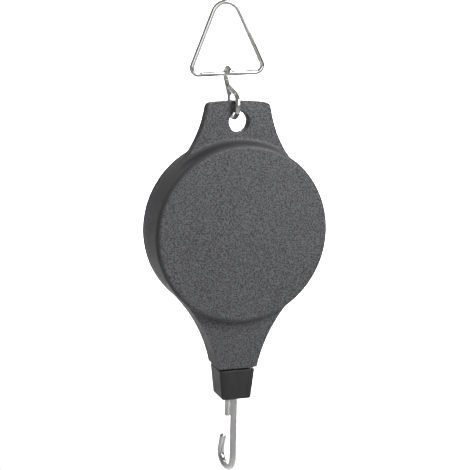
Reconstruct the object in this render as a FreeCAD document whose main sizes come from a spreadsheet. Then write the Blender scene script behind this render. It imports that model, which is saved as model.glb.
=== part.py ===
"""Retractable hanging reel: a sprung cord drum in a two-part case, hung by a wire triangle and
an S-hook, with a load hook on a block that pulls down on the cord.

Frame: origin inside the triangle's top bend, where the reel hangs. +Z is up, +X is to the right
of someone facing the case, and +Y points into its back. Lengths are millimetres. Everything in
the case is drawn about the reel's axle, which runs along Y, and is moved into place by Placement.
"""
import FreeCAD, Part
import os
from math import acos, atan2, cos, degrees, hypot, pi, radians, sin, sqrt, tan

import Sketcher

V = FreeCAD.Vector
X_AXIS = V(1, 0, 0)
Y_AXIS = V(0, 1, 0)
Z_AXIS = V(0, 0, 1)

DIMENSIONS = {
    # where the axle stands from the hanging point
    "hub_x": 3.655, "hub_y": -11.0, "hub_z": -118.016,
    # case
    "disc_r": 47.5, "disc_half": 14.75, "wall": 2.0, "seam_y": 3.25,
    "front_round": 2.5, "back_round": 2.0, "foot_round": 2.6, "rim_round": 1.0,
    "tab_half": 3.25, "tab_top": 69.0, "tab_corner_z": 68.0, "tab_corner_round": 3.5,
    "tab_flare_r": 59.1, "tab_flare_deg": 44.6, "hole_z": 58.0, "hole_r": 5.4,
    "neck_half": 9.35, "neck_flare_r": 78.7, "neck_flare_deg": 46.0, "neck_bottom": -74.2,
    "mouth_half_x": 8.0, "mouth_half_y": 6.8, "mouth_ledge": -71.0,
    # case screws
    "screw_ring_r": 41.0, "neck_screw_x": 13.6, "neck_screw_z": -48.5, "boss_root": 0.5,
    "boss_r": 3.8, "screw_r": 1.5, "screw_head_r": 2.7, "screw_head_len": 1.9, "screw_hole_r": 1.6,
    "thread_play": 0.02, "pilot_depth": 7.5, "thread_len": 6.5, "head_play": 0.3, "head_sink": 0.6,
    "head_round": 0.6, "cross_len": 3.0, "cross_width": 0.7, "cross_depth": 0.9,
    # axle and what it carries
    "axle_r": 2.5, "axle_half": 13.4, "hub_boss_r": 6.0, "front_boss_y": -11.2, "back_boss_y": 10.5,
    "arbor_r": 6.0, "arbor_end": 4.5, "washer_r": 5.6, "bush_r": 4.0, "bush_bore_r": 2.55,
    # drum
    "cord_r": 1.2, "wind_r": 28.0, "wind_pitch": 2.9, "wind_end": 3.6, "lay_gap": 0.05,
    "wind_turns": 4.5, "flange_r": 36.0, "barrel_wall": 1.7, "flange_t": 1.4, "anchor_play": 0.2,
    "web_y": 4.9, "barrel_front": -10.7, "drum_hub_end": 10.0,
    "cover_t": 1.0, "ratchet_y": 6.3, "ratchet_t": 3.0, "tooth_r": 33.0, "tooth_root_r": 29.0,
    "tooth_count": 12.0, "tooth_face_deg": 64.0, "ratchet_bore_r": 16.0, "rivet_ring_r": 21.0,
    "rivet_hole_r": 1.5, "rivet_r": 1.45, "rivet_head_r": 2.4, "rivet_head_len": 1.0, "rivet_round": 0.5,
    # pawl
    "pawl_x": 30.64, "pawl_z": 25.71, "pawl_boss_r": 3.0, "pawl_t": 2.4, "pawl_front": 6.7,
    "pawl_lift_deg": 16.0, "pawl_pin_r": 1.2, "pawl_bore_r": 1.25, "pawl_boss_y": 10.9,
    "pawl_seat_depth": 2.6, "pawl_pin_len": 7.0, "pawl_pin_lead": 0.3, "pawl_face_gap_deg": 2.6,
    "pawl_root_gap": 0.8, "pawl_face_len": 3.4, "pawl_wire_r": 0.2, "pawl_coil_pitch": 0.5,
    "pawl_coil_turns": 2.0, "pawl_coil_gap": 0.4, "pawl_leg_len": 4.2, "pawl_coil_play": 0.5,
    # mainspring
    "spring_strip": 0.5, "spring_turns": 9.0, "spring_outer_r": 20.6, "spring_half": 6.0,
    "spring_y": -2.4, "spring_play": 0.1, "arbor_slot_len": 4.0, "arbor_slot_width": 1.0,
    "arbor_slot_in": 2.6, "arbor_slot_play": 0.5,
    # cord guide in the neck
    "guide_r": 7.25, "guide_top": -61.5, "guide_bottom": -71.0, "throat_r": 1.9, "bell_r": 4.5,
    "guide_bend_z": -62.0, "guide_bend_r": 15.0, "cord_gap": 0.3,
    # block on the cord's end
    "block_top": -75.4, "block_bottom": -92.3, "block_top_half_x": 10.1, "block_top_half_y": 8.85,
    "block_bottom_half_x": 8.3, "block_bottom_half_y": 8.3, "block_corner": 1.5, "block_round": 1.5,
    "block_top_round": 0.4, "spigot_round": 0.8, "plug_play": 0.05,
    "spigot_half_x": 7.6, "spigot_half_y": 6.4, "spigot_top": -71.3, "plug_skirt": 1.8,
    "hook_y": 1.2, "chamber_r": 6.2, "lip_t": 2.0, "lip_bore_r": 5.4, "plug_bore_r": 1.5,
    "end_knot_r": 2.6, "anchor_knot_r": 1.6,
    # load hook
    "hook_wire_r": 1.9, "eye_r": 3.4, "bowl_r": 7.0, "bowl_z": -127.9, "bowl_sweep_deg": 195.0,
    "stub_z": -105.3, "stub_round": 0.5, "tip_len": 7.0, "hook_turn_deg": 98.9, "eye_lift": 0.1,
    "swivel_t": 1.9, "swivel_play": 0.1, "swivel_hole_play": 0.05,
    # triangle
    "hanger_wire_r": 1.35, "hanger_height": 37.0, "hanger_roll_deg": 2.5, "bar_half": 21.6,
    "apex_r": 7.8, "corner_r": 3.5, "bar_gap": 0.5,
    # S-hook
    "s_wire_r": 1.4, "loop_r": 6.5, "loop_z": 66.4, "loop_close": 11.0, "loop_gap": 0.2,
    "s_eye_r": 3.3, "s_eye_sweep_deg": 200.0, "s_bend_r": 6.0, "bar_seat": 0.4,
}

doc = FreeCAD.newDocument("hanging_reel")
sheet = doc.addObject("Spreadsheet::Sheet", "sizes")
for row, (word, value) in enumerate(DIMENSIONS.items(), start=1):
    sheet.set(f"A{row}", word)
    sheet.set(f"B{row}", str(value))
    sheet.setAlias(f"B{row}", word)
doc.recompute()


def size(word):
    """A driving dimension, read back from the sheet."""
    return float(sheet.get(word))


# ---------------------------------------------------------------- helpers

def bind(thing, **rules):
    """Ties properties to sheet formulas, where every name in a formula is an alias."""
    for path, rule in rules.items():
        thing.setExpression(path.replace("__", "."), with_sheet(rule))


def with_sheet(rule):
    """Puts the sheet's name before each alias in a formula."""
    words = []
    for word in rule.split():
        words.append(f"sizes.{word}" if word in DIMENSIONS else word)
    return " ".join(words)


def place_at_hub(thing):
    """Moves a piece that was drawn about the axle to where the axle is."""
    bind(thing, Placement__Base__x="hub_x", Placement__Base__y="hub_y", Placement__Base__z="hub_z")


def new_body(name):
    body = doc.addObject("PartDesign::Body", name)
    body.Label = name
    return body


def plane_of(body, role):
    for feature in body.Origin.OriginFeatures:
        if feature.Role == role:
            return feature
    raise ValueError(role)


def new_sketch(body, name, role="XZ_Plane", offset=None):
    """A sketch on one of the body's origin planes, moved along the plane's normal by a formula."""
    sketch = body.newObject("Sketcher::SketchObject", name)
    sketch.AttachmentSupport = [(plane_of(body, role), "")]
    sketch.MapMode = "FlatFace"
    if offset is not None:
        bind(sketch, AttachmentOffset__Base__z=offset)
    return sketch


def add_circle(sketch, radius, x="0", y="0"):
    """A circle whose radius and centre follow formulas. A centre at "0" is held on the axis."""
    index = sketch.addGeometry(Part.Circle(V(0.5, 0.5, 0), Z_AXIS, 1), False)
    number = sketch.addConstraint(Sketcher.Constraint("Radius", index, 1.0))
    sketch.setExpression(f"Constraints[{number}]", with_sheet(radius))
    for kind, axis, rule in (("DistanceX", -2, x), ("DistanceY", -1, y)):
        if rule == "0":
            sketch.addConstraint(Sketcher.Constraint("PointOnObject", index, 3, axis))
            continue
        number = sketch.addConstraint(Sketcher.Constraint(kind, -1, 1, index, 3, 0.5))
        sketch.setExpression(f"Constraints[{number}]", with_sheet(rule))


def add_outline(sketch, edges):
    """Closed outline of lines and arcs, joined end to end."""
    first = sketch.GeometryCount
    for edge in edges:
        sketch.addGeometry(edge, False)
    count = len(edges)
    for n, edge in enumerate(edges):
        following = edges[(n + 1) % count]
        end = end_of(edge, following)
        start = start_of(following, edge)
        sketch.addConstraint(
            Sketcher.Constraint("Coincident", first + n, end, first + (n + 1) % count, start)
        )


def near(a, b):
    return (a - b).Length < 1e-4


def end_of(edge, following):
    """Which end of an edge (1 start, 2 end) touches the edge that follows."""
    for point in (following.StartPoint, following.EndPoint):
        if near(edge.EndPoint, point):
            return 2
    return 1


def start_of(edge, before):
    for point in (before.StartPoint, before.EndPoint):
        if near(edge.StartPoint, point):
            return 1
    return 2


def line(a, b):
    return Part.LineSegment(V(*a, 0), V(*b, 0))


def arc(centre, radius, start_deg, end_deg):
    """Arc that runs counter-clockwise from start_deg to end_deg."""
    circle = Part.Circle(V(*centre, 0), Z_AXIS, radius)
    return Part.ArcOfCircle(circle, radians(start_deg), radians(end_deg))


def pad(body, sketch, name, length, reverse=False):
    feature = body.newObject("PartDesign::Pad", name)
    feature.Profile = sketch
    bind(feature, Length=length)
    feature.Reversed = reverse
    return feature


def pocket(body, sketch, name, length=None, reverse=False):
    """A cut of a given depth, or right through both ways where no depth is given."""
    feature = body.newObject("PartDesign::Pocket", name)
    feature.Profile = sketch
    if length is None:
        feature.Type = 1
        feature.Midplane = True
    else:
        bind(feature, Length=length)
    feature.Reversed = reverse
    return feature


def round_edges(body, name, radius, chosen):
    """Rounds the edges of the body's last feature that the rule picks out."""
    doc.recompute()
    base = body.Tip
    edges = [f"Edge{n}" for n, edge in enumerate(base.Shape.Edges, start=1) if chosen(edge)]
    feature = body.newObject("PartDesign::Fillet", name)
    feature.Base = (base, edges)
    bind(feature, Radius=radius)
    return feature


def tube_along(edges, radius):
    """Round wire swept along joined edges, as one solid."""
    path = Part.Wire(edges)
    start = path.Edges[0].valueAt(path.Edges[0].FirstParameter)
    way = path.Edges[0].tangentAt(path.Edges[0].FirstParameter)
    profile = Part.Wire([Part.Circle(start, way, radius).toShape()])
    return path.makePipeShell([profile], True, True, 2)


def half_turn(start, top, end):
    """Arc through three points."""
    return Part.Arc(start, top, end).toShape()


def coil_edges(radius, pitch, turns, start_angle_rad, start_y):
    """Path of a coil about Y: tilted half circles, so that it rises a pitch a turn."""
    edges = []
    for n in range(round(2 * turns)):
        points = []
        # the middle stands a little further out, which makes the tilted arc a true half circle
        for quarter, reach in ((0, radius), (1, hypot(radius, pitch / 4)), (2, radius)):
            angle = start_angle_rad - pi * (n + quarter / 2)
            y = start_y + pitch * (n / 2 + quarter / 4)
            points.append(V(reach * cos(angle), y, reach * sin(angle)))
        edges.append(half_turn(*points))
    return edges


def cylinder(radius, start, end, x=0.0, z=0.0):
    """Solid rod along Y between two depths."""
    return Part.makeCylinder(radius, end - start, V(x, start, z), Y_AXIS)


def add_shape(name, shape, at_hub=True):
    """A piece whose shape is made here, with its Placement set after its Shape."""
    feature = doc.addObject("Part::Feature", name)
    feature.Label = name
    feature.Shape = Part.makeCompound(shape.Solids)
    if at_hub:
        place_at_hub(feature)
    return feature


def ring_piece(name, outer, inner, start, length):
    """Ring along Y, made of two Part cylinders."""
    rods = []
    for which, radius in (("outside", outer), ("bore", inner)):
        rod = doc.addObject("Part::Cylinder", f"{name}_{which}")
        bind(rod, Radius=radius, Height=length, Placement__Base__y=start)
        rod.Placement.Rotation = FreeCAD.Rotation(X_AXIS, -90)
        rods.append(rod)
    ring = doc.addObject("Part::Cut", name)
    ring.Label = name
    ring.Base, ring.Tool = rods
    place_at_hub(ring)
    return ring


# ---------------------------------------------------------------- case outlines
# Sketches on the XZ plane see X to the right and Z up, and their normal points to -Y, the front.

def flare(r, flare_r, angle_deg, inset, side, z_end):
    """The hollow curve that runs from the disc into the tab or neck.

    r is the disc's radius and inset how far inside the case's skin the curve lies. It returns the
    arc's centre, its radius and the x at which it reaches z_end.
    """
    reach = r + flare_r
    centre = (side * reach * cos(radians(angle_deg)), reach * sin(radians(angle_deg)))
    radius = flare_r + inset
    x_end = abs(centre[0]) - sqrt(radius**2 - (centre[1] - z_end) ** 2)
    return centre, radius, x_end


def neck_edges(inset, bottom):
    """Right flare, bottom line and left flare of the neck, from the disc and back to it."""
    r = size("disc_r")
    angle = size("neck_flare_deg")
    centre, radius, x_end = flare(r, size("neck_flare_r"), angle, inset, 1, -bottom)
    centre = (centre[0], -centre[1])
    at_disc = 180 - angle
    at_bottom = degrees(atan2(bottom - centre[1], x_end - centre[0])) % 360
    right = arc(centre, radius, at_disc, at_bottom)
    left = arc((-centre[0], centre[1]), radius, 180 - at_bottom + 360, 180 - at_disc + 360)
    base = line((x_end, bottom), (-x_end, bottom))
    return right, base, left


def tab_edges():
    """Right flare, corner, crowned top, corner and left flare of the hanging tab."""
    r = size("disc_r")
    angle = size("tab_flare_deg")
    corner_z = size("tab_corner_z")
    corner_r = size("tab_corner_round")
    centre, radius, x_corner = flare(r, size("tab_flare_r"), angle, 0, 1, corner_z)
    # crowned top: an arc through both corners and the middle
    rise = size("tab_top") - corner_z
    crown_r = (x_corner**2 + rise**2) / (2 * rise)
    crown_z = size("tab_top") - crown_r
    # each corner's round lies inside the crown and outside the flare's circle
    near_x, near_z = centre[0], centre[1] - crown_z
    span = hypot(near_x, near_z)
    a = crown_r - corner_r
    b = radius + corner_r
    along = (a**2 - b**2 + span**2) / (2 * span)
    across = sqrt(a**2 - along**2)
    ux, uz = near_x / span, near_z / span
    cx = along * ux - across * uz
    cz = along * uz + across * ux + crown_z
    on_flare = degrees(atan2(cz - centre[1], cx - centre[0])) % 360
    on_crown = degrees(atan2(cz - crown_z, cx))
    at_disc = 180 + angle
    right = arc(centre, radius, on_flare, at_disc)
    corner_right = arc((cx, cz), corner_r, on_flare - 180, on_crown)
    top = arc((0, crown_z), crown_r, on_crown, 180 - on_crown)
    corner_left = arc((-cx, cz), corner_r, 180 - on_crown, 360 - on_flare)
    left = arc((-centre[0], centre[1]), radius, 540 - at_disc, 540 - on_flare)
    return right, corner_right, top, corner_left, left


def disc_arc(start_deg, end_deg, inset=0.0):
    return arc((0, 0), size("disc_r") - inset, start_deg, end_deg)


def neck_outline(inset=0.0, bottom=None):
    """Disc and neck as one outline."""
    angle = size("neck_flare_deg")
    if bottom is None:
        bottom = size("neck_bottom")
    right, base, left = neck_edges(inset, bottom)
    return [disc_arc(-angle, 180 + angle, inset), left, base, right]


def full_outline():
    """Disc, neck and tab as one outline."""
    neck = size("neck_flare_deg")
    tab = size("tab_flare_deg")
    right, base, left = neck_edges(0, size("neck_bottom"))
    tab_right, corner_right, top, corner_left, tab_left = tab_edges()
    right_side = disc_arc(-neck, tab)
    left_side = disc_arc(180 - tab, 180 + neck)
    return [
        right_side, tab_right, corner_right, top, corner_left, tab_left, left_side, left, base, right,
    ]


def foot_groove(body, name, plane_y, upper):
    """Turns the step at the disc's foot, above or below the axle, into a hollow round."""
    r = size("disc_r")
    foot = size("foot_round")
    far = 100.0
    sketch = new_sketch(body, name + "_profile", "XY_Plane")
    top = plane_y - foot
    add_outline(sketch, [
        arc((r + foot, top), foot, 90, 180),
        line((r + foot, plane_y), (far, plane_y)),
        line((far, plane_y), (far, top - 0.5)),
        line((far, top - 0.5), (r, top - 0.5)),
        line((r, top - 0.5), (r, top)),
    ])
    groove = body.newObject("PartDesign::Groove", name)
    groove.Profile = sketch
    groove.ReferenceAxis = (plane_of(body, "Y_Axis"), [""])
    groove.Angle = 180
    groove.Reversed = upper
    return groove


def screw_places():
    """Where the six case screws stand, as (x, z)."""
    ring = size("screw_ring_r")
    places = [(ring * cos(radians(a)), ring * sin(radians(a))) for a in (12, 128, 190, 330)]
    for side in (1, -1):
        places.append((side * size("neck_screw_x"), size("neck_screw_z")))
    return places


def circle_at_depth(edge, y, radius=None):
    """Whether an edge is a circle, or part of one, that lies at one depth."""
    box = edge.BoundBox
    if abs(box.YMin - y) > 0.01 or abs(box.YMax - y) > 0.01:
        return False
    if radius is None:
        return True
    curve = edge.Curve
    return curve.TypeId == "Part::GeomCircle" and abs(curve.Radius - radius) < 0.01


# ---------------------------------------------------------------- case

def make_front_shell():
    body = new_body("front_shell")
    base = new_sketch(body, "front_full_outline", offset="0 - seam_y")
    add_outline(base, full_outline())
    pad(body, base, "front_base", "seam_y + tab_half + foot_round")
    doc.recompute()
    foot_groove(body, "tab_foot", -size("tab_half"), True)
    neck = new_sketch(body, "front_neck_outline", offset="tab_half + foot_round")
    add_outline(neck, neck_outline())
    pad(body, neck, "front_neck", "neck_half - tab_half")
    doc.recompute()
    foot_groove(body, "neck_foot", -size("neck_half"), False)
    face = new_sketch(body, "front_face_outline", offset="neck_half + foot_round")
    add_circle(face, "disc_r")
    pad(body, face, "front_face", "disc_half - neck_half - foot_round")
    hole = new_sketch(body, "tab_hole_outline")
    add_circle(hole, "hole_r", y="hole_z")
    pocket(body, hole, "tab_hole")
    round_edges(
        body, "front_rim", "front_round",
        lambda edge: circle_at_depth(edge, -size("disc_half"), size("disc_r")),
    )
    round_edges(body, "tab_hole_rims", "rim_round", is_tab_hole_rim)
    hollow = new_sketch(body, "front_cavity_outline", offset="0 - seam_y")
    add_circle(hollow, "disc_r - wall")
    pocket(body, hollow, "front_cavity", "seam_y + disc_half - wall", reverse=True)
    channel = new_sketch(body, "front_channel_outline", offset="0 - seam_y")
    add_outline(channel, neck_outline(size("wall"), size("mouth_ledge")))
    pocket(body, channel, "front_channel", "seam_y + neck_half - wall", reverse=True)
    mouth = new_sketch(body, "front_mouth_outline", offset="0 - seam_y")
    add_outline(mouth, mouth_outline())
    pocket(body, mouth, "front_mouth", "seam_y + mouth_half_y", reverse=True)
    hub = new_sketch(body, "front_boss_outline", offset="0 - front_boss_y")
    add_circle(hub, "hub_boss_r")
    pad(body, hub, "front_boss", "disc_half - wall / 2 + front_boss_y")
    for n, (x, z) in enumerate(screw_places(), start=1):
        depth = "disc_half - wall" if n <= 4 else "neck_half - wall"
        boss = new_sketch(body, f"front_screw_boss_outline_{n}", offset="0 - seam_y")
        add_circle(boss, "boss_r", f"{x:.3f}", f"{z:.3f}")
        pad(body, boss, f"front_screw_boss_{n}", f"seam_y + {depth} + boss_root")
    bore = new_sketch(body, "front_axle_seat_outline", offset="0 - front_boss_y")
    add_circle(bore, "axle_r")
    pocket(body, bore, "front_axle_seat", "axle_half + front_boss_y", reverse=True)
    pilots = new_sketch(body, "screw_pilot_outline", offset="0 - seam_y")
    for x, z in screw_places():
        add_circle(pilots, "screw_r + thread_play", f"{x:.3f}", f"{z:.3f}")
    pocket(body, pilots, "screw_pilots", "pilot_depth", reverse=True)
    place_at_hub(body)
    return body


def is_tab_hole_rim(edge):
    """The rims of the hole in the tab, front and back."""
    ends = (-size("tab_half"), size("seam_y"))
    return any(circle_at_depth(edge, y, size("hole_r")) for y in ends)


def mouth_outline():
    """Opening in the neck's end, from the ledge down through the end wall."""
    half = size("mouth_half_x")
    top = size("mouth_ledge") + 1
    bottom = size("neck_bottom") - 1
    return [
        line((-half, top), (half, top)),
        line((half, top), (half, bottom)),
        line((half, bottom), (-half, bottom)),
        line((-half, bottom), (-half, top)),
    ]


def make_rear_shell():
    body = new_body("rear_shell")
    base = new_sketch(body, "rear_neck_outline", offset="0 - neck_half")
    add_outline(base, neck_outline())
    pad(body, base, "rear_neck", "neck_half - seam_y")
    face = new_sketch(body, "rear_face_outline", offset="0 - disc_half")
    add_circle(face, "disc_r")
    pad(body, face, "rear_face", "disc_half - seam_y")
    round_edges(
        body, "rear_rim", "back_round",
        lambda edge: circle_at_depth(edge, size("disc_half"), size("disc_r")),
    )
    hollow = new_sketch(body, "rear_cavity_outline", offset="0 - seam_y")
    add_circle(hollow, "disc_r - wall")
    pocket(body, hollow, "rear_cavity", "disc_half - wall - seam_y")
    channel = new_sketch(body, "rear_channel_outline", offset="0 - seam_y")
    add_outline(channel, neck_outline(size("wall"), size("mouth_ledge")))
    pocket(body, channel, "rear_channel", "neck_half - wall - seam_y")
    mouth = new_sketch(body, "rear_mouth_outline", offset="0 - seam_y")
    add_outline(mouth, mouth_outline())
    pocket(body, mouth, "rear_mouth", "mouth_half_y - seam_y")
    hub = new_sketch(body, "rear_boss_outline", offset="0 - back_boss_y")
    add_circle(hub, "hub_boss_r")
    pad(body, hub, "rear_boss", "disc_half - wall / 2 - back_boss_y", reverse=True)
    for n, (x, z) in enumerate(screw_places(), start=1):
        depth = "disc_half - wall" if n <= 4 else "neck_half - wall"
        boss = new_sketch(body, f"rear_screw_boss_outline_{n}", offset="0 - seam_y")
        add_circle(boss, "boss_r", f"{x:.3f}", f"{z:.3f}")
        pad(body, boss, f"rear_screw_boss_{n}", f"{depth} - seam_y + boss_root", reverse=True)
    pivot = new_sketch(body, "pawl_boss_outline", offset="0 - pawl_boss_y")
    add_circle(pivot, "pawl_boss_r", "pawl_x", "pawl_z")
    pad(body, pivot, "pawl_boss", "disc_half - wall / 2 - pawl_boss_y", reverse=True)
    seats = new_sketch(body, "rear_axle_seat_outline", offset="0 - back_boss_y")
    add_circle(seats, "axle_r")
    pocket(body, seats, "rear_axle_seat", "axle_half - back_boss_y")
    pin_seat = new_sketch(body, "pawl_pin_seat_outline", offset="0 - pawl_boss_y")
    add_circle(pin_seat, "pawl_pin_r", "pawl_x", "pawl_z")
    pocket(body, pin_seat, "pawl_pin_seat", "pawl_seat_depth")
    for n, (x, z) in enumerate(screw_places(), start=1):
        face_y = "disc_half" if n <= 4 else "neck_half"
        through = new_sketch(body, f"screw_hole_outline_{n}", offset="0 - seam_y")
        add_circle(through, "screw_hole_r", f"{x:.3f}", f"{z:.3f}")
        pocket(body, through, f"screw_hole_{n}", f"{face_y} - seam_y + 1")
        head = new_sketch(body, f"head_recess_outline_{n}", offset=f"0 - {face_y}")
        add_circle(head, "screw_head_r + head_play", f"{x:.3f}", f"{z:.3f}")
        pocket(body, head, f"head_recess_{n}", "screw_head_len + head_sink", reverse=True)
    place_at_hub(body)
    return body


def make_housing_screws():
    """Six pan-head screws, driven from the back, as one group of separate solids."""
    head_r = size("screw_head_r")
    head_len = size("screw_head_len")
    seam = size("seam_y")
    cross_len = size("cross_len")
    cross_width = size("cross_width")
    cross_depth = size("cross_depth")
    screws = []
    for n, (x, z) in enumerate(screw_places()):
        face = size("disc_half") if n < 4 else size("neck_half")
        seat = face - head_len - size("head_sink")
        top = seat + head_len
        shank = cylinder(size("screw_r"), seam - size("thread_len"), seat + 0.1, x, z)
        head = cylinder(head_r, seat, top, x, z)
        rim = [e for e in head.Edges if circle_at_depth(e, top, head_r)]
        head = head.makeFillet(size("head_round"), rim)
        screw = head.fuse(shank).removeSplitter()
        for angle in (0, 90):
            corner = V(x - cross_len / 2, top - cross_depth, z - cross_width / 2)
            slot = Part.makeBox(cross_len, cross_depth + 0.1, cross_width, corner)
            slot.rotate(V(x, 0, z), Y_AXIS, angle)
            screw = screw.cut(slot)
        screws.append(screw)
    return add_shape("housing_screws", Part.makeCompound(screws))


def make_cord_guide():
    """Bell-mouthed eye in the neck that turns the cord straight down."""
    body = new_body("cord_guide")
    sketch = new_sketch(body, "guide_profile", "XZ_Plane")
    bottom = size("guide_bottom")
    top = size("guide_top")
    throat = size("throat_r")
    bell = size("bell_r")
    outer = size("guide_r")
    bell_z = top - bell
    add_outline(sketch, [
        line((throat, bottom), (outer, bottom)),
        line((outer, bottom), (outer, top)),
        line((outer, top), (throat + bell, top)),
        arc((throat + bell, bell_z), bell, 90, 180),
        line((throat, bell_z), (throat, bottom)),
    ])
    turn = body.newObject("PartDesign::Revolution", "guide_turn")
    turn.Profile = sketch
    turn.ReferenceAxis = (plane_of(body, "Z_Axis"), [""])
    turn.Angle = 360
    place_at_hub(body)
    return body


# ---------------------------------------------------------------- axle and spring

def make_axle_parts():
    axle = doc.addObject("Part::Cylinder", "hub_axle")
    axle.Label = "hub_axle"
    bind(axle, Radius="axle_r - 0.01", Height="2 * axle_half - 0.1")
    axle.Placement.Rotation = FreeCAD.Rotation(X_AXIS, -90)
    bind(
        axle, Placement__Base__x="hub_x", Placement__Base__y="hub_y - axle_half + 0.05",
        Placement__Base__z="hub_z",
    )
    ring_piece("thrust_washer_front", "washer_r", "axle_r", "arbor_end", "web_y - arbor_end")
    ring_piece("thrust_washer_rear", "washer_r", "axle_r", "drum_hub_end", "back_boss_y - drum_hub_end")
    ring_piece("drum_bush", "bush_r", "bush_bore_r", "web_y", "drum_hub_end - web_y")


def make_spring_arbor():
    """Fixed sleeve on the axle, slotted for the spring's inner end."""
    start = size("front_boss_y")
    sleeve = cylinder(size("arbor_r"), start, size("arbor_end"))
    sleeve = sleeve.cut(cylinder(size("axle_r"), start - 1, size("arbor_end") + 1))
    slot_width = size("arbor_slot_width")
    play = size("arbor_slot_play")
    slot = Part.makeBox(size("arbor_slot_len"), 2 * (size("spring_half") + play), slot_width)
    slot_y = size("spring_y") - size("spring_half") - play
    slot.translate(V(size("arbor_r") - size("arbor_slot_in"), slot_y, -slot_width / 2))
    return add_shape("spring_arbor", sleeve.cut(slot))


def make_mainspring():
    """Flat spiral strip: half turns about two centres, so that it grows by one pitch a turn."""
    turns = int(size("spring_turns"))
    inner = size("arbor_r") + size("spring_strip") / 2 + size("spring_play")
    pitch = (size("spring_outer_r") - inner) / turns
    depth = size("spring_y") - size("spring_half")
    edges = []
    radius = inner
    for half in range(2 * turns):
        centre_x = 0.0 if half % 2 == 0 else -pitch / 2
        side = 1 if half % 2 == 0 else -1
        start = V(centre_x + side * radius, 0, 0)
        top = V(centre_x, 0, side * radius)
        end = V(centre_x - side * radius, 0, 0)
        edges.append(half_turn(start, top, end))
        radius += pitch / 2
    path = Part.Wire(edges)
    half_strip = size("spring_strip") / 2
    profile = Part.makePolygon([
        V(inner - half_strip, depth, 0),
        V(inner + half_strip, depth, 0),
        V(inner + half_strip, depth + 2 * size("spring_half"), 0),
        V(inner - half_strip, depth + 2 * size("spring_half"), 0),
        V(inner - half_strip, depth, 0),
    ])
    strip = path.makePipeShell([profile], True, False)
    return add_shape("mainspring", strip)


# ---------------------------------------------------------------- drum

def make_drum():
    """Barrel with two flanges, a web and a hub, turned as one piece about Y."""
    body = new_body("drum")
    sketch = new_sketch(body, "drum_profile", "XY_Plane")
    flange = size("flange_r")
    flange_t = size("flange_t")
    barrel = size("wind_r") - size("cord_r") - size("lay_gap")
    inside = barrel - size("barrel_wall")
    front = size("barrel_front")
    web = size("web_y")
    hub_r = size("hub_boss_r") + 2
    hub_end = size("drum_hub_end")
    bush = size("bush_r")
    points = [
        (bush, web), (inside, web), (inside, front - flange_t), (flange, front - flange_t),
        (flange, front), (barrel, front), (barrel, web), (flange, web), (flange, web + flange_t),
        (hub_r, web + flange_t), (hub_r, hub_end), (bush, hub_end),
    ]
    add_outline(sketch, [line(a, b) for a, b in zip(points, points[1:] + points[:1])])
    turn = body.newObject("PartDesign::Revolution", "drum_turn")
    turn.Profile = sketch
    turn.ReferenceAxis = (plane_of(body, "Y_Axis"), [""])
    turn.Angle = 360
    doc.recompute()
    x, y, z = anchor_place()
    hole = new_sketch(body, "anchor_hole_outline", "YZ_Plane")
    # the cord's inner end passes the barrel's wall where the winding starts
    add_circle(hole, "cord_r + anchor_play", f"{y:.3f}", f"{z:.3f}")
    pocket(body, hole, "anchor_hole", "wind_r", reverse=x > 0)
    place_at_hub(body)
    return body


def anchor_place():
    """Where the winding starts on the drum, straight out along -X or +X of the axle."""
    start = start_angle()
    r = size("wind_r")
    return r * cos(start), size("wind_end") - size("wind_pitch") * size("wind_turns"), r * sin(start)


def leave_angle():
    """Angle of the point where the cord leaves the drum for the guide, in the XZ plane."""
    return -pi / 2 + acos(size("wind_r") / -size("guide_bend_z"))


def start_angle():
    """Angle at which the winding starts, so many turns before the cord leaves."""
    return leave_angle() + 2 * pi * size("wind_turns")


def make_drum_cover():
    """Disc that closes the front of the spring's chamber."""
    cover_inner = "arbor_r + 0.3"
    cover_outer = "wind_r - cord_r - lay_gap - barrel_wall"
    ring_piece("drum_cover", cover_outer, cover_inner, "barrel_front - flange_t", "cover_t")


def make_ratchet_ring():
    """Saw-toothed ring on the drum's back. Each tooth has a radial face and a long ramp."""
    body = new_body("ratchet_ring")
    count = int(size("tooth_count"))
    root = size("tooth_root_r")
    tip = size("tooth_r")
    first = size("tooth_face_deg")
    points = []
    for n in range(count):
        angle = radians(first + 360 * n / count)
        points.append((root * cos(angle), root * sin(angle)))
        points.append((tip * cos(angle), tip * sin(angle)))
    sketch = new_sketch(body, "ratchet_outline", offset="0 - ratchet_y")
    add_outline(sketch, [line(a, b) for a, b in zip(points, points[1:] + points[:1])])
    add_circle(sketch, "ratchet_bore_r")
    pad(body, sketch, "ratchet_pad", "ratchet_t", reverse=True)
    holes = new_sketch(body, "rivet_hole_outline", offset="0 - ratchet_y")
    for x, z in rivet_places():
        add_circle(holes, "rivet_hole_r", f"{x:.3f}", f"{z:.3f}")
    pocket(body, holes, "rivet_holes", "ratchet_t")
    place_at_hub(body)
    return body


def rivet_places():
    ring = size("rivet_ring_r")
    return [(ring * cos(radians(a)), ring * sin(radians(a))) for a in (45, 135, 225, 315)]


def make_ratchet_rivets():
    """Four rivets that hold the ratchet ring on the drum's web, as separate solids."""
    start = size("ratchet_y")
    back = start + size("ratchet_t")
    top = back + size("rivet_head_len")
    head_r = size("rivet_head_r")
    rivets = []
    for x, z in rivet_places():
        shank = cylinder(size("rivet_r"), start, back + 0.1, x, z)
        head = cylinder(head_r, back, top, x, z)
        rim = [e for e in head.Edges if circle_at_depth(e, top, head_r)]
        head = head.makeFillet(size("rivet_round"), rim)
        rivets.append(head.fuse(shank).removeSplitter())
    return add_shape("ratchet_rivets", Part.makeCompound(rivets))


def make_cord_winding():
    """The wound cord: one layer of turns side by side, from the anchor to where it leaves."""
    y = anchor_place()[1]
    turns = size("wind_turns")
    path = coil_edges(size("wind_r"), size("wind_pitch"), turns, start_angle(), y)
    return add_shape("cord_winding", tube_along(path, size("cord_r")))


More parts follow.
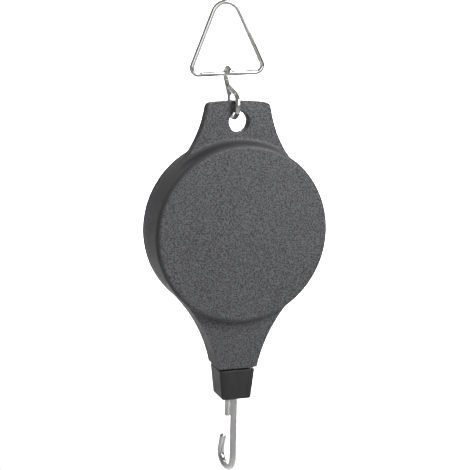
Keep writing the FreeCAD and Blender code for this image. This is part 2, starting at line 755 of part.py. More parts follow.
def make_cord_anchor_knot():
    """Knot inside the barrel with the short end that passes its wall."""
    x, y, z = anchor_place()
    side = 1 if x > 0 else -1
    wall = size("wind_r") - size("cord_r") - size("lay_gap")
    reach = sqrt(wall**2 - z**2)
    knot_ring = wall - size("barrel_wall") - size("anchor_knot_r") - 0.05
    inner = sqrt(knot_ring**2 - z**2)
    centre = V(side * inner, y, z)
    ball = Part.makeSphere(size("anchor_knot_r"), centre)
    stem = Part.makeCylinder(size("cord_r"), reach - inner - 1.0, centre, V(side, 0, 0))
    return add_shape("cord_anchor_knot", ball.fuse(stem).removeSplitter())


# ---------------------------------------------------------------- pawl

def make_pawl():
    """Drawn about its own pivot with the arm along -X as it lies in the teeth, then lifted.

    Its end stands a little off the tooth's face, so that it swings in past the tooth's tip.
    """
    body = new_body("pawl")
    boss = size("pawl_boss_r")
    face = radians(size("tooth_face_deg") - size("pawl_face_gap_deg"))
    tip_r = size("tooth_root_r") + size("pawl_root_gap")
    back_r = tip_r + size("pawl_face_len")
    tip = (tip_r * cos(face) - size("pawl_x"), tip_r * sin(face) - size("pawl_z"))
    back = (back_r * cos(face) - size("pawl_x"), back_r * sin(face) - size("pawl_z"))
    sketch = new_sketch(body, "pawl_outline")
    add_outline(sketch, [
        line((0, boss), back),
        line(back, tip),
        line(tip, (0, -boss)),
        arc((0, 0), boss, -90, 90),
    ])
    add_circle(sketch, "pawl_bore_r")
    pad(body, sketch, "pawl_pad", "pawl_t", reverse=True)
    body.Placement.Rotation = FreeCAD.Rotation(Y_AXIS, size("pawl_lift_deg"))
    bind(
        body, Placement__Base__x="hub_x + pawl_x", Placement__Base__y="hub_y + pawl_front",
        Placement__Base__z="hub_z + pawl_z",
    )
    return body


def make_pawl_pin():
    pin = doc.addObject("Part::Cylinder", "pawl_pin")
    pin.Label = "pawl_pin"
    bind(pin, Radius="pawl_pin_r - 0.01", Height="pawl_pin_len")
    pin.Placement.Rotation = FreeCAD.Rotation(X_AXIS, -90)
    bind(
        pin, Placement__Base__x="hub_x + pawl_x",
        Placement__Base__y="hub_y + pawl_front - pawl_pin_lead", Placement__Base__z="hub_z + pawl_z",
    )
    return pin


def make_pawl_spring():
    """Small torsion coil round the pawl's pin, with a straight leg each way."""
    pitch = size("pawl_coil_pitch")
    turns = size("pawl_coil_turns")
    leg = V(0, 0, size("pawl_leg_len"))
    coil_r = size("pawl_pin_r") + size("pawl_coil_play")
    y = size("pawl_front") + size("pawl_t") + size("pawl_coil_gap")
    start = V(coil_r, 0, 0)
    end = V(coil_r, pitch * turns, 0)
    edges = [Part.LineSegment(start + leg, start).toShape()]
    edges += coil_edges(coil_r, pitch, turns, 0.0, 0.0)
    edges.append(Part.LineSegment(end, end - leg).toShape())
    coil = tube_along(edges, size("pawl_wire_r"))
    coil.translate(V(size("pawl_x"), y, size("pawl_z")))
    return add_shape("pawl_spring", coil)


# ---------------------------------------------------------------- cord run and block

def make_cord_run():
    """The cord from the drum through the guide to its end knot: two straight runs and one arc."""
    leave = leave_angle()
    start = V(size("wind_r") * cos(leave), size("wind_end"), size("wind_r") * sin(leave))
    corner = V(0, 0, size("guide_bend_z"))
    end = V(0, 0, knot_top())
    into = (corner - start).normalize()
    start = start + into * size("cord_gap")
    out = (end - corner).normalize()
    turn = into.getAngle(out)
    bend = size("guide_bend_r")
    back = bend * tan(turn / 2)
    first = corner - into * back
    last = corner + out * back
    inward = (out - into).normalize()
    centre = corner + inward * (bend / cos(turn / 2))
    middle = centre - inward * bend
    edges = [
        Part.LineSegment(start, first).toShape(),
        Part.Arc(first, middle, last).toShape(),
        Part.LineSegment(last, end).toShape(),
    ]
    length = sum(edge.Length for edge in edges)
    tube = tube_along(edges, size("cord_r"))
    section = pi * size("cord_r") ** 2
    print(f"cord run {length:.1f} mm, bend radius {bend:.1f} mm, "
          f"volume {tube.Volume:.1f} of {section * length:.1f} mm3")
    wound = hypot(2 * pi * size("wind_r"), size("wind_pitch")) * size("wind_turns")
    print(f"wound {wound:.1f} mm at radius {size('wind_r'):.1f} mm, whole cord {wound + length:.1f} mm")
    return add_shape("cord_run", tube)


def rounded_rectangle(half_x, half_y, corner):
    """Centred rectangle with rounded corners."""
    x, y = half_x - corner, half_y - corner
    return [
        line((-x, -half_y), (x, -half_y)), arc((x, -y), corner, -90, 0),
        line((half_x, -y), (half_x, y)), arc((x, y), corner, 0, 90),
        line((x, half_y), (-x, half_y)), arc((-x, y), corner, 90, 180),
        line((-half_x, y), (-half_x, -y)), arc((-x, -y), corner, 180, 270),
    ]


def make_hook_block():
    """Tapered cup with a chamber for the swivel, open at the top under its plug."""
    body = new_body("hook_block")
    corner = size("block_corner")
    top = new_sketch(body, "block_top_outline", "XY_Plane", offset="block_top")
    add_outline(top, rounded_rectangle(size("block_top_half_x"), size("block_top_half_y"), corner))
    bottom = new_sketch(body, "block_bottom_outline", "XY_Plane", offset="block_bottom")
    add_outline(
        bottom, rounded_rectangle(size("block_bottom_half_x"), size("block_bottom_half_y"), corner)
    )
    loft = body.newObject("PartDesign::AdditiveLoft", "block_loft")
    loft.Profile = top
    loft.Sections = [bottom]
    loft.Ruled = True
    round_edges(
        body, "block_bottom_round", "block_round",
        lambda edge: edge.BoundBox.ZMax < size("block_bottom") + 0.01,
    )
    round_edges(
        body, "block_top_round_edge", "block_top_round",
        lambda edge: edge.BoundBox.ZMin > size("block_top") - 0.01,
    )
    chamber = new_sketch(body, "chamber_outline", "XY_Plane", offset="block_top")
    add_circle(chamber, "chamber_r", y="hook_y")
    pocket(body, chamber, "chamber", "block_top - block_bottom - lip_t")
    lip = new_sketch(body, "lip_outline", "XY_Plane", offset="block_top")
    add_circle(lip, "lip_bore_r", y="hook_y")
    pocket(body, lip, "lip_bore", "block_top - block_bottom + 1")
    place_at_hub(body)
    return body


def make_block_plug():
    """Plug that closes the block and enters the case's mouth."""
    body = new_body("block_plug")
    skirt = new_sketch(body, "plug_skirt_outline", "XY_Plane", offset="block_top - plug_skirt")
    add_circle(skirt, "chamber_r - plug_play", y="hook_y")
    pad(body, skirt, "plug_skirt", "plug_skirt")
    spigot = new_sketch(body, "spigot_outline", "XY_Plane", offset="block_top")
    add_outline(
        spigot, rounded_rectangle(size("spigot_half_x"), size("spigot_half_y"), size("block_corner"))
    )
    pad(body, spigot, "spigot", "spigot_top - block_top")
    round_edges(
        body, "spigot_top_edge", "spigot_round",
        lambda edge: edge.BoundBox.ZMin > size("spigot_top") - 0.01,
    )
    bore = new_sketch(body, "plug_bore_outline", "XY_Plane", offset="spigot_top")
    add_circle(bore, "plug_bore_r")
    pocket(body, bore, "plug_bore", "spigot_top - block_top + plug_skirt")
    place_at_hub(body)
    return body


def knot_z():
    """Height of the end knot's middle, where it bears on the rim of the plug's bore."""
    seat = size("block_top") - size("plug_skirt")
    return seat - sqrt(size("end_knot_r") ** 2 - size("plug_bore_r") ** 2)


def knot_top():
    """Height of the flat on the knot that the cord grows out of."""
    return knot_z() + sqrt(size("end_knot_r") ** 2 - size("cord_r") ** 2)


def make_end_knot():
    """Stopper knot under the plug, drawn as a ball with a flat where the cord joins it."""
    r = size("end_knot_r")
    flat_deg = degrees(acos(size("cord_r") / r))
    knot = Part.makeSphere(r, V(0, 0, knot_z()), Z_AXIS, -90, flat_deg)
    return add_shape("cord_end_knot", knot)


# ---------------------------------------------------------------- load hook

def hook_plane_point(across, z):
    """A point in the hook's plane, which is turned about the swivel's axis."""
    turn = radians(size("hook_turn_deg"))
    return V(across * cos(turn), size("hook_y") + across * sin(turn), z)


def seat_z():
    """Height of the swivel disc's top."""
    return size("block_bottom") + size("lip_t") + size("swivel_play") + size("swivel_t")


def make_hook():
    """One bent wire: short free end, eye, shank, bowl and a tip that leans back in."""
    eye = size("eye_r")
    bowl = size("bowl_r")
    bowl_z = size("bowl_z")
    middle = bowl - eye
    eye_z = seat_z() + size("eye_lift")
    sweep = radians(size("bowl_sweep_deg"))

    def on_bowl(angle):
        return hook_plane_point(middle - bowl * cos(angle), bowl_z - bowl * sin(angle))

    tip_start = on_bowl(sweep)
    lean = sweep - pi
    tip_end_across = middle - bowl * cos(sweep) - size("tip_len") * sin(lean)
    tip_end = hook_plane_point(tip_end_across, tip_start.z + size("tip_len") * cos(lean))
    stub_end = hook_plane_point(eye, size("stub_z"))
    edges = [
        Part.LineSegment(stub_end, hook_plane_point(eye, eye_z)).toShape(),
        half_turn(
            hook_plane_point(eye, eye_z), hook_plane_point(0, eye_z + eye), hook_plane_point(-eye, eye_z)
        ),
        Part.LineSegment(hook_plane_point(-eye, eye_z), hook_plane_point(-eye, bowl_z)).toShape(),
        half_turn(on_bowl(0), on_bowl(sweep / 2), tip_start),
        Part.LineSegment(tip_start, tip_end).toShape(),
    ]
    radius = size("hook_wire_r")
    wire = tube_along(edges, radius)
    wire = wire.fuse(Part.makeSphere(radius, tip_end)).removeSplitter()
    blunt = [e for e in wire.Edges if e.BoundBox.ZMax < size("stub_z") + 0.01 and e.Closed
             and e.BoundBox.ZMin > size("stub_z") - 0.01]
    return add_shape("hook", wire.makeFillet(size("stub_round"), blunt))


def make_swivel_disc():
    """Steel disc with a hole for each leg of the hook's eye. It turns on the block's lip."""
    z = size("block_bottom") + size("lip_t") + size("swivel_play")
    thickness = size("swivel_t")
    disc_r = size("chamber_r") - size("swivel_play")
    hole_r = size("hook_wire_r") + size("swivel_hole_play")
    disc = Part.makeCylinder(disc_r, thickness, V(0, size("hook_y"), z), Z_AXIS)
    for side in (1, -1):
        leg = hook_plane_point(side * size("eye_r"), z - 1)
        disc = disc.cut(Part.makeCylinder(hole_r, thickness + 2, leg, Z_AXIS))
    return add_shape("swivel_disc", disc)


# ---------------------------------------------------------------- triangle and S-hook

def make_hanger():
    """Wire triangle, drawn from the middle of its base bar round to the middle again.

    It is drawn upright with its bar at no height, then hung from the inside of its top bend and
    rolled a little.
    """
    half = size("bar_half")
    corner = size("corner_r")
    apex = size("apex_r")
    top = size("hanger_height")
    # the leg's lean makes the apex bend, its centre line r inside the legs, end at the top
    lean = 0.4
    for _ in range(40):
        lean = atan2(half, top + apex * (1 / sin(lean) - 1))
    inner = (pi / 2 - lean) / 2
    corner_x = half - corner / tan(inner)
    out = V(cos(lean), 0, sin(lean))
    gap = size("bar_gap") / 2

    def side(sign):
        corner_c = V(sign * corner_x, 0, corner)
        leg_out = V(sign * out.x, 0, out.z)
        low = corner_c + leg_out * corner
        mid_dir = V(leg_out.x, 0, leg_out.z - 1).normalize()
        high = V(0, 0, top - apex) + leg_out * apex
        return V(sign * gap, 0, 0), V(sign * corner_x, 0, 0), corner_c + mid_dir * corner, low, high

    r_bar, r_turn, r_mid, r_low, r_high = side(1)
    l_bar, l_turn, l_mid, l_low, l_high = side(-1)
    edges = [
        Part.LineSegment(r_bar, r_turn).toShape(),
        half_turn(r_turn, r_mid, r_low),
        Part.LineSegment(r_low, r_high).toShape(),
        half_turn(r_high, V(0, 0, top), l_high),
        Part.LineSegment(l_high, l_low).toShape(),
        half_turn(l_low, l_mid, l_turn),
        Part.LineSegment(l_turn, l_bar).toShape(),
    ]
    wire = tube_along(edges, size("hanger_wire_r"))
    wire.translate(V(0, 0, size("hanger_wire_r") - top))
    wire.rotate(V(0, 0, 0), Y_AXIS, -size("hanger_roll_deg"))
    return add_shape("hanger", wire, at_hub=False)


def bar_place():
    """Middle of the triangle's bar, from the axle."""
    roll = radians(size("hanger_roll_deg"))
    drop = size("hanger_height") - size("hanger_wire_r")
    return V(drop * sin(roll) - size("hub_x"), -size("hub_y"), -drop * cos(roll) - size("hub_z"))


def make_s_hook():
    """Bent wire: a closed loop through the tab's hole, a shank, and a hook over the triangle's bar.

    It is drawn standing up in the YZ plane about the loop's centre, with the front to -Y, then
    leaned back so that its upper bend lies on the bar.
    """
    loop = size("loop_r")
    eye = size("s_eye_r")
    bend = size("s_bend_r")
    wire_r = size("s_wire_r")
    bar = bar_place()
    middle = V(bar.x, 0, size("loop_z"))
    reach = bar - middle
    length = reach.Length - size("bar_seat")
    join_z = sqrt((loop + bend) ** 2 - (eye + bend) ** 2)
    join = atan2(join_z, eye + bend)
    # the loop's free end comes back to the front of the shank
    tip = V(0, eye - 2 * wire_r - size("loop_gap"), size("loop_close"))
    leave = atan2(tip.z, tip.y) + acos(loop / hypot(tip.y, tip.z))
    sweep = radians(size("s_eye_sweep_deg"))

    def on_loop(angle):
        return V(0, loop * cos(angle), loop * sin(angle))

    def on_eye(angle):
        return V(0, eye * cos(angle), length + eye * sin(angle))

    bend_c = V(0, eye + bend, join_z)
    bend_angle = pi + join / 2
    bend_mid = bend_c + V(0, bend * cos(bend_angle), bend * sin(bend_angle))
    edges = [
        Part.LineSegment(tip, on_loop(leave)).toShape(),
        half_turn(on_loop(leave), on_loop((leave + join + 2 * pi) / 2), on_loop(join + 2 * pi)),
        half_turn(on_loop(join), bend_mid, V(0, eye, join_z)),
        Part.LineSegment(V(0, eye, join_z), on_eye(0)).toShape(),
        half_turn(on_eye(0), on_eye(sweep / 2), on_eye(sweep)),
    ]
    hook = tube_along(edges, wire_r)
    hook.rotate(V(0, 0, 0), X_AXIS, -degrees(atan2(reach.y, reach.z)))
    hook.translate(middle)
    return add_shape("s_hook", hook)


make_front_shell()
make_rear_shell()
make_housing_screws()
make_cord_guide()
make_axle_parts()
make_spring_arbor()
make_mainspring()
make_drum()
make_drum_cover()
make_ratchet_ring()
make_ratchet_rivets()
make_cord_winding()
make_cord_anchor_knot()
make_pawl()
make_pawl_pin()
make_pawl_spring()
make_cord_run()
make_hook_block()
make_block_plug()
make_end_knot()
make_hook()
make_swivel_disc()
make_hanger()
make_s_hook()
doc.recompute()

NODES = (
    "hanger", "s_hook", "front_shell", "rear_shell", "housing_screws", "cord_guide", "hub_axle",
    "spring_arbor", "thrust_washer_front", "thrust_washer_rear", "mainspring", "drum", "drum_cover",
    "drum_bush", "ratchet_ring", "ratchet_rivets", "cord_winding", "cord_anchor_knot", "pawl",
    "pawl_pin", "pawl_spring", "cord_run", "hook_block", "block_plug", "cord_end_knot", "hook",
    "swivel_disc",
)

for thing in doc.Objects:
    if {"Invalid", "Error"} & set(thing.State):
        raise RuntimeError(f"{thing.Label} failed: {thing.State}")
pieces = []
for name in NODES:
    piece = doc.getObjectsByLabel(name)[0]
    if piece.Shape.isNull() or not piece.Shape.isValid() or piece.Shape.Volume <= 0:
        raise RuntimeError(f"{name} has no valid shape")
    pieces.append((name, piece.Shape))

os.makedirs("parts", exist_ok=True)
for name, shape in pieces:
    shape.exportStep(os.path.join("parts", f"{name}.step"))
    print(f"{name}: {len(shape.Solids)} solids, {shape.Volume:.0f} mm3")
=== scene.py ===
"""Looks for the hanging reel: materials, the cord that pulls out, the studio and the camera."""

from math import acos, cos, pi, sin, tan

import bmesh
import bpy
from mathutils import Matrix, Vector


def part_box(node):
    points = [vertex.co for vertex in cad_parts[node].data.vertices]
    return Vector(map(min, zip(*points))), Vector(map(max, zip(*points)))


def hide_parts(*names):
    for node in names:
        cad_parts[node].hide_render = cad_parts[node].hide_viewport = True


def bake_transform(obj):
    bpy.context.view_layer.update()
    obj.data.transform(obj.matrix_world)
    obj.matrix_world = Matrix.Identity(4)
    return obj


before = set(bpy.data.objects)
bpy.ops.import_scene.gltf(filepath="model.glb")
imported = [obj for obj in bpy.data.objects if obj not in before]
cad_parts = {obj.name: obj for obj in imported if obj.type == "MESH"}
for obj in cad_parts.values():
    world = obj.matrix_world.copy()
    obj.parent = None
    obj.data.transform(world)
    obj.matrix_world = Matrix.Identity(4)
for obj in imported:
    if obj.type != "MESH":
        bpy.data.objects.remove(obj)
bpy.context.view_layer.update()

MM = 0.001
HUB = Vector((3.655, -11.0, -118.016)) * MM


# ---------------------------------------------------------------- node helpers

BEVEL_SAMPLES = 4


class Nodes:
    """One material's node tree, with short ways to add and join nodes."""

    def __init__(self, name):
        self.material = bpy.data.materials.new(name)
        self.material.use_nodes = True
        self.tree = self.material.node_tree
        self.shader = self.tree.nodes["Principled BSDF"]
        self.where = self.add("ShaderNodeTexCoord").outputs["Object"]

    def add(self, kind, **settings):
        node = self.tree.nodes.new(kind)
        for key, value in settings.items():
            setattr(node, key, value)
        return node

    def join(self, source, target):
        self.tree.links.new(source, target)

    def feed(self, socket, value):
        """Joins another node's output, or sets a plain value."""
        if isinstance(value, bpy.types.NodeSocket):
            self.join(value, socket)
        else:
            socket.default_value = value

    def math(self, operation, a, b=0.0):
        node = self.add("ShaderNodeMath", operation=operation)
        self.feed(node.inputs[0], a)
        self.feed(node.inputs[1], b)
        return node.outputs[0]

    def ramp(self, value, low, high, start=0.0, end=1.0):
        """Runs smoothly from start to end as value goes from low to high."""
        node = self.add("ShaderNodeMapRange", interpolation_type="SMOOTHSTEP")
        self.feed(node.inputs["Value"], value)
        for name, number in (("From Min", low), ("From Max", high), ("To Min", start), ("To Max", end)):
            self.feed(node.inputs[name], number)
        return node.outputs["Result"]

    def mix(self, amount, first, second):
        """Colour between two colours."""
        node = self.add("ShaderNodeMix", data_type="RGBA")
        self.feed(node.inputs["Factor"], amount)
        for socket, value in ((node.inputs[6], first), (node.inputs[7], second)):
            if isinstance(value, tuple):
                value = (*value, 1.0)
            self.feed(socket, value)
        return node.outputs[2]

    def noise(self, scale, detail=2.0, roughness=0.5, stretch=None):
        node = self.add("ShaderNodeTexNoise")
        self.feed(node.inputs["Scale"], scale)
        self.feed(node.inputs["Detail"], detail)
        self.feed(node.inputs["Roughness"], roughness)
        self.join(self.stretched(stretch), node.inputs["Vector"])
        return node.outputs["Fac"]

    def cells(self, scale):
        node = self.add("ShaderNodeTexVoronoi", feature="SMOOTH_F1")
        self.feed(node.inputs["Scale"], scale)
        self.join(self.where, node.inputs["Vector"])
        return node.outputs["Distance"]

    def stretched(self, stretch):
        if stretch is None:
            return self.where
        node = self.add("ShaderNodeMapping")
        node.inputs["Scale"].default_value = stretch
        self.join(self.where, node.inputs["Vector"])
        return node.outputs["Vector"]

    def bump(self, height, distance, strength=1.0, normal=None):
        node = self.add("ShaderNodeBump")
        self.feed(node.inputs["Height"], height)
        self.feed(node.inputs["Distance"], distance)
        self.feed(node.inputs["Strength"], strength)
        if normal is not None:
            self.join(normal, node.inputs["Normal"])
        return node.outputs["Normal"]

    def soft_edge(self, radius):
        """Normal that rounds sharp edges off by a radius."""
        node = self.add("ShaderNodeBevel", samples=BEVEL_SAMPLES)
        node.inputs["Radius"].default_value = radius
        return node.outputs["Normal"]

    def axis(self, vector, name):
        node = self.add("ShaderNodeSeparateXYZ")
        self.join(vector, node.inputs[0])
        return node.outputs[name]

    def finish(self, colour, roughness, metallic=0.0, normal=None, specular=None):
        if isinstance(colour, tuple):
            colour = (*colour, 1.0)
        self.feed(self.shader.inputs["Base Color"], colour)
        self.feed(self.shader.inputs["Roughness"], roughness)
        self.shader.inputs["Metallic"].default_value = metallic
        if specular is not None:
            self.shader.inputs["Specular IOR Level"].default_value = specular
        if normal is not None:
            self.join(normal, self.shader.inputs["Normal"])
        return self.material


# ---------------------------------------------------------------- materials

CASE_GREY = (0.078, 0.079, 0.083)
BLOCK_GREY = (0.034, 0.034, 0.036)
SEAM_Y = HUB.y + 3.25 * MM
SEAM_BLACK = (0.008, 0.008, 0.008)
SEAM_HALF = 0.12 * MM
SEAM_FADE = 0.3 * MM
CASE_EDGE = 0.55 * MM
BLOCK_EDGE = 0.5 * MM

# how many cells or waves of each pattern go into a metre
GRAIN_CELLS = 1450.0
GRAIN_FINE = 3400.0
SATIN_FINE = 5200.0
MOULDING_WAVES = 38.0
GRAIN_DEPTH = 0.24 * MM

# the grain's darkest and lightest tone as shares of the case's grey: painted shade in its pits, painted
# highlight on its tops
PAINTED_SHADE_LOW = 0.2
PAINTED_LIGHT_HIGH = 1.8


def shades(grey, low, high):
    """A darker and a lighter version of one colour."""
    return tuple(c * low for c in grey), tuple(c * high for c in grey)


def case_material():
    """Moulded grey plastic: leather grain on the faces, with painted shade in its pits and painted
    highlight on its tops, plain satin on the side walls.
    """
    n = Nodes("case_plastic")
    facing = n.math("ABSOLUTE", n.axis(n.add("ShaderNodeNewGeometry").outputs["True Normal"], "Y"))
    face = n.ramp(facing, 0.86, 0.98)
    cell = n.cells(GRAIN_CELLS)
    fine = n.noise(GRAIN_FINE, 3.0, 0.6)
    broad = n.noise(MOULDING_WAVES, 3.0, 0.55)
    grain = n.math("ADD", n.math("MULTIPLY", cell, 0.60), n.math("MULTIPLY", fine, 0.60))
    satin = n.math("MULTIPLY", n.noise(SATIN_FINE, 2.0, 0.5), 0.12)
    height = n.math("ADD", n.math("MULTIPLY", grain, face), satin)
    # painted shade darkens the low parts of the grain and painted highlight lightens its tops, and the
    # moulding varies slowly over the face
    painted_grain_shade = n.ramp(grain, 0.36, 0.68, 0.15, 1.95)
    tone = n.math("ADD", n.math("MULTIPLY", n.math("SUBTRACT", painted_grain_shade, 1.0), face), 1.0)
    slow = n.ramp(broad, 0.3, 0.7, 0.95, 1.05)
    tone = n.math("MULTIPLY", tone, slow)
    dark, light = shades(CASE_GREY, PAINTED_SHADE_LOW, PAINTED_LIGHT_HIGH)
    share = n.math("MULTIPLY", n.math("SUBTRACT", tone, PAINTED_SHADE_LOW), 1.0 / (PAINTED_LIGHT_HIGH - PAINTED_SHADE_LOW))
    colour = n.mix(share, dark, light)
    # the joint between the two halves is a fine dark line
    from_seam = n.math("ABSOLUTE", n.math("SUBTRACT", n.axis(n.where, "Y"), SEAM_Y))
    seam = n.ramp(from_seam, SEAM_HALF, SEAM_FADE)
    side = n.ramp(facing, 0.5, 0.7, 1.0, 0.0)
    line = n.math("MULTIPLY", n.math("SUBTRACT", 1.0, seam), side)
    colour = n.mix(line, colour, SEAM_BLACK)
    normal = n.bump(height, GRAIN_DEPTH, 1.0, n.soft_edge(CASE_EDGE))
    rough = n.ramp(n.math("ADD", fine, n.math("MULTIPLY", broad, 0.3)), 0.3, 0.9, 0.42, 0.58)
    return n.finish(colour, rough, normal=normal, specular=0.5)


def block_material():
    """Smooth satin plastic with faint flow marks and softened edges."""
    n = Nodes("block_plastic")
    marks = n.noise(160.0, 4.0, 0.6, (1.0, 1.0, 0.25))
    fine = n.noise(4200.0, 2.0, 0.5)
    dark, light = shades(BLOCK_GREY, 0.88, 1.15)
    colour = n.mix(n.ramp(marks, 0.3, 0.7), dark, light)
    normal = n.bump(fine, 0.012 * MM, 0.6, n.soft_edge(BLOCK_EDGE))
    return n.finish(colour, n.ramp(marks, 0.3, 0.7, 0.34, 0.44), normal=normal, specular=0.5)


def chrome_material():
    """Bright plated wire with fine drawing marks and a few handling marks."""
    n = Nodes("wire_chrome")
    drawn = n.noise(700.0, 3.0, 0.6)
    marks = n.ramp(n.noise(240.0, 4.0, 0.65), 0.60, 0.75)
    colour = n.mix(n.ramp(drawn, 0.3, 0.7), (0.84, 0.83, 0.82), (0.93, 0.92, 0.91))
    normal = n.bump(drawn, 0.02 * MM, 0.35)
    rough = n.math("ADD", n.ramp(drawn, 0.3, 0.7, 0.06, 0.11), n.math("MULTIPLY", marks, 0.10))
    return n.finish(colour, rough, metallic=1.0, normal=normal)


def metal_material(name, base, rough_low, rough_high, scale=900.0):
    """Plain worked metal with fine tool marks and slight staining."""
    n = Nodes(name)
    marks = n.noise(scale, 4.0, 0.65, (1.0, 0.12, 1.0))
    stains = n.noise(90.0, 4.0, 0.6)
    shade = n.ramp(stains, 0.35, 0.7)
    colour = n.mix(shade, tuple(c * 0.8 for c in base), base)
    rough = n.ramp(marks, 0.3, 0.7, rough_low, rough_high)
    return n.finish(colour, rough, metallic=1.0, normal=n.bump(marks, 0.015 * MM, 0.5))


def moulded_material(name, base, rough_low, rough_high):
    """Plain moulded plastic of the inner pieces, with faint flow marks."""
    n = Nodes(name)
    flow = n.noise(70.0, 4.0, 0.55, (1.0, 0.5, 1.0))
    fine = n.noise(3500.0, 2.0, 0.5)
    colour = n.mix(n.ramp(flow, 0.3, 0.7), tuple(c * 0.88 for c in base), base)
    rough = n.ramp(flow, 0.3, 0.7, rough_low, rough_high)
    return n.finish(colour, rough, normal=n.bump(fine, 0.012 * MM, 0.6))


def cord_material():
    """Braided black cord: crossing strands with a soft sheen, and painted shade between the strands."""
    n = Nodes("braided_cord")
    strands = []
    for lean in (1.0, -1.0):
        wave = n.add("ShaderNodeTexWave", wave_type="BANDS", bands_direction="Z")
        turn = n.add("ShaderNodeMapping")
        turn.inputs["Rotation"].default_value = (lean * 0.7, lean * 0.7, 0.0)
        n.join(n.where, turn.inputs["Vector"])
        n.join(turn.outputs["Vector"], wave.inputs["Vector"])
        wave.inputs["Scale"].default_value = 420.0
        wave.inputs["Distortion"].default_value = 0.4
        strands.append(wave.outputs["Fac"])
    braid = n.math("MAXIMUM", *strands)
    fuzz = n.noise(3000.0, 3.0, 0.7)
    height = n.math("ADD", braid, n.math("MULTIPLY", fuzz, 0.3))
    # painted shade between the strands: the colour darkens where the braid lies low and lightens on the
    # strands' tops
    colour = n.mix(n.ramp(height, 0.3, 1.1), (0.006, 0.006, 0.007), (0.05, 0.05, 0.052))
    material = n.finish(colour, n.ramp(fuzz, 0.3, 0.7, 0.6, 0.85), normal=n.bump(height, 0.15 * MM, 0.9))
    n.shader.inputs["Sheen Weight"].default_value = 0.3
    return material


CASE = case_material()
BLOCK = block_material()
CHROME = chrome_material()
STEEL = metal_material("plated_steel", (0.60, 0.60, 0.61), 0.22, 0.36)
BLUED = metal_material("spring_steel", (0.20, 0.22, 0.27), 0.25, 0.40)
ZINC = metal_material("zinc_casting", (0.42, 0.42, 0.43), 0.40, 0.60, 500.0)
BRASS = metal_material("turned_brass", (0.72, 0.52, 0.22), 0.20, 0.34)
INNER = moulded_material("inner_plastic", (0.62, 0.61, 0.56), 0.38, 0.50)
GUIDE = moulded_material("guide_plastic", (0.74, 0.74, 0.70), 0.25, 0.35)
CORD = cord_material()

FINISHES = {
    "hanger": CHROME, "s_hook": CHROME, "hook": CHROME,
    "front_shell": CASE, "rear_shell": CASE,
    "hook_block": BLOCK, "block_plug": BLOCK,
    "housing_screws": STEEL, "hub_axle": STEEL, "pawl_pin": STEEL, "ratchet_rivets": STEEL,
    "swivel_disc": STEEL, "mainspring": BLUED, "pawl_spring": BLUED,
    "ratchet_ring": ZINC, "pawl": ZINC, "drum_bush": BRASS,
    "drum": INNER, "drum_cover": INNER, "spring_arbor": INNER,
    "cord_guide": GUIDE, "thrust_washer_front": GUIDE, "thrust_washer_rear": GUIDE,
    "cord_winding": CORD, "cord_anchor_knot": CORD, "cord_end_knot": CORD, "cord_run": CORD,
}


def paint(thing, material):
    slots = thing.material_slots
    if not slots:
        thing.data.materials.append(material)
        return
    for slot in slots:
        slot.link = "OBJECT"
        slot.material = material


for node_name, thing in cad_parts.items():
    paint(thing, FINISHES[node_name])


# ---------------------------------------------------------------- the cord that pulls out

CORD_R = 1.2
WIND_R = 28.0
WIND_END_Y = 3.6
BEND_Z = -62.0
BEND_R = 15.0
RUN_START_GAP = 0.3
KNOT_TOP_Z = (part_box("cord_run")[0].z - HUB.z) / MM
RUN_STEPS = 30
BEND_STEPS = 12
STRAIGHT_STEP = 0.5
CORD_SIDES = 20
CORD_RIDGES = 5
RIDGE_DEPTH = 0.03


def cord_points():
    """Middle line of the cord in hub millimetres: off the drum, round the guide, straight down."""
    leave = -pi / 2 + acos(WIND_R / -BEND_Z)
    start = Vector((WIND_R * cos(leave), WIND_END_Y, WIND_R * sin(leave)))
    corner = Vector((0.0, 0.0, BEND_Z))
    into = (corner - start).normalized()
    out = Vector((0.0, 0.0, -1.0))
    start = start + into * RUN_START_GAP
    turn = into.angle(out)
    back = BEND_R * tan(turn / 2)
    first = corner - into * back
    inward = (out - into).normalized()
    centre = corner + inward * (BEND_R / cos(turn / 2))
    points = [start.lerp(first, i / RUN_STEPS) for i in range(RUN_STEPS)]
    arm = first - centre
    axis = arm.cross(into).normalized()
    for i in range(BEND_STEPS):
        points.append(centre + Matrix.Rotation(turn * i / BEND_STEPS, 3, axis) @ arm)
    last = corner + out * back
    down = last.z - KNOT_TOP_Z
    steps = int(down / STRAIGHT_STEP)
    for i in range(steps + 1):
        points.append(last + out * (down * i / steps))
    return points


def cord_piece():
    """Tube made of rings, with faint ridges along it."""
    points = cord_points()
    mesh = bmesh.new()
    rings = []
    side_way = Vector((0.0, 1.0, 0.0))
    for i, point in enumerate(points):
        ahead = points[min(i + 1, len(points) - 1)] - points[max(i - 1, 0)]
        ahead.normalize()
        side_way = (side_way - ahead * side_way.dot(ahead)).normalized()
        other = ahead.cross(side_way)
        ring = []
        for k in range(CORD_SIDES):
            angle = 2 * pi * k / CORD_SIDES
            ridge = 1.0 - RIDGE_DEPTH + RIDGE_DEPTH * cos(angle * CORD_RIDGES)
            offset = (side_way * cos(angle) + other * sin(angle)) * CORD_R * ridge
            ring.append(mesh.verts.new(HUB + (point + offset) * MM))
        rings.append(ring)
    for a, b in zip(rings, rings[1:]):
        for k in range(CORD_SIDES):
            after = (k + 1) % CORD_SIDES
            mesh.faces.new((a[k], a[after], b[after], b[k]))
    mesh.faces.new(rings[0][::-1])
    mesh.faces.new(rings[-1])
    bmesh.ops.recalc_face_normals(mesh, faces=mesh.faces)
    for face in mesh.faces:
        face.smooth = True
    data = bpy.data.meshes.new("cord")
    mesh.to_mesh(data)
    mesh.free()
    data.materials.append(CORD)
    piece = bpy.data.objects.new("pull_cord", data)
    bpy.context.scene.collection.objects.link(piece)
    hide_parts("cord_run")
    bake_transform(piece)
    return piece


cord_piece()


# ---------------------------------------------------------------- studio and camera

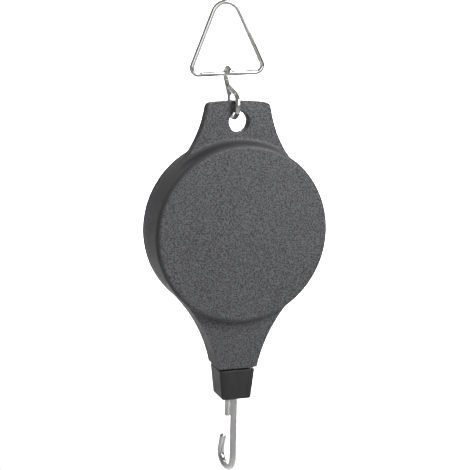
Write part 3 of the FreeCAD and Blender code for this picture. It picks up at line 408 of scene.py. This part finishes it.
FLOOR_Z = -0.62
WALL_Y = 2.6
SWEEP_R = 1.2
SWEEP_STEPS = 12
STUDIO_HALF_WIDTH = 7.0
STUDIO_NEAR_Y = -5.0
WALL_HEIGHT = 6.0
AIR_STRENGTH = 0.19
OBJECT_MIDDLE = (0.0, -0.01, -0.13)


def studio_surface():
    """Pale floor that sweeps up into a wall behind the object."""
    profile = [(STUDIO_NEAR_Y, FLOOR_Z), (WALL_Y - SWEEP_R, FLOOR_Z)]
    for i in range(1, SWEEP_STEPS + 1):
        angle = i / SWEEP_STEPS * pi / 2
        profile.append((WALL_Y - SWEEP_R + SWEEP_R * sin(angle), FLOOR_Z + SWEEP_R * (1 - cos(angle))))
    profile.append((WALL_Y, FLOOR_Z + WALL_HEIGHT))
    mesh = bmesh.new()
    rows = []
    for y, z in profile:
        rows.append([mesh.verts.new((x, y, z)) for x in (-STUDIO_HALF_WIDTH, STUDIO_HALF_WIDTH)])
    for a, b in zip(rows, rows[1:]):
        face = mesh.faces.new((a[0], a[1], b[1], b[0]))
        face.smooth = True
    data = bpy.data.meshes.new("studio")
    mesh.to_mesh(data)
    mesh.free()
    n = Nodes("studio_white")
    speck = n.noise(6.0, 2.0, 0.5)
    colour = n.mix(n.ramp(speck, 0.3, 0.7), (0.93, 0.93, 0.93), (0.95, 0.95, 0.95))
    data.materials.append(n.finish(colour, 0.9, specular=0.1))
    floor = bpy.data.objects.new("studio_floor", data)
    bpy.context.scene.collection.objects.link(floor)
    return floor


def area_light(name, place, target, power, size_x, size_y, spread_deg=180.0):
    """Rectangular light that the camera can't see. A smaller spread keeps its beam narrow."""
    data = bpy.data.lights.new(name, "AREA")
    data.energy = power
    data.shape = "RECTANGLE"
    data.size = size_x
    data.size_y = size_y
    data.spread = spread_deg * pi / 180
    light = bpy.data.objects.new(name, data)
    light.location = place
    light.rotation_euler = (Vector(target) - Vector(place)).to_track_quat("-Z", "Y").to_euler()
    light.visible_camera = False
    bpy.context.scene.collection.objects.link(light)
    return light


def add_lights():
    """A close key from the right, a soft front light, and two lights for the background only.

    The background's lights stand behind the object and face away from it.
    """
    area_light("key_right", (0.24, -0.36, 0.16), OBJECT_MIDDLE, 1.95, 0.20, 0.26)
    area_light("front_soft", (-0.10, -2.0, 0.5), OBJECT_MIDDLE, 6.0, 1.4, 1.2)
    area_light("background", (1.25, 1.3, 1.2), (1.15, 2.4, 0.0), 60.0, 1.5, 1.3, 80.0)
    area_light("background_low", (1.05, 0.9, 0.45), (1.05, 1.5, FLOOR_Z), 28.0, 1.5, 0.8, 90.0)


def add_air():
    """Dim even light from all round."""
    world = bpy.data.worlds.new("studio_air")
    bpy.context.scene.world = world
    world.use_nodes = True
    sky = world.node_tree.nodes["Background"]
    sky.inputs["Color"].default_value = (1.0, 1.0, 1.0, 1.0)
    sky.inputs["Strength"].default_value = AIR_STRENGTH


CAMERA_PLACE = Vector((-203.165, -579.08, -4.396)) * MM
CAMERA_BACK = Vector((-0.336, -0.923, 0.189)).normalized()
CAMERA_UP = Vector((0.045, 0.184, 0.982))
CAMERA_SENSOR_MM = 36.0
CAMERA_LENS_MM = 88.23


def add_camera():
    """Camera in front of the case, a little to its left and above its middle."""
    right = CAMERA_UP.cross(CAMERA_BACK).normalized()
    up = CAMERA_BACK.cross(right)
    data = bpy.data.cameras.new("camera")
    data.sensor_width = CAMERA_SENSOR_MM
    data.lens = CAMERA_LENS_MM
    camera = bpy.data.objects.new("camera", data)
    turn = Matrix((right, up, CAMERA_BACK)).transposed().to_4x4()
    camera.matrix_world = Matrix.Translation(CAMERA_PLACE) @ turn
    bpy.context.scene.collection.objects.link(camera)
    bpy.context.scene.camera = camera


studio_surface()
add_lights()
add_air()
add_camera()
bpy.context.scene.view_settings.view_transform = "Standard"

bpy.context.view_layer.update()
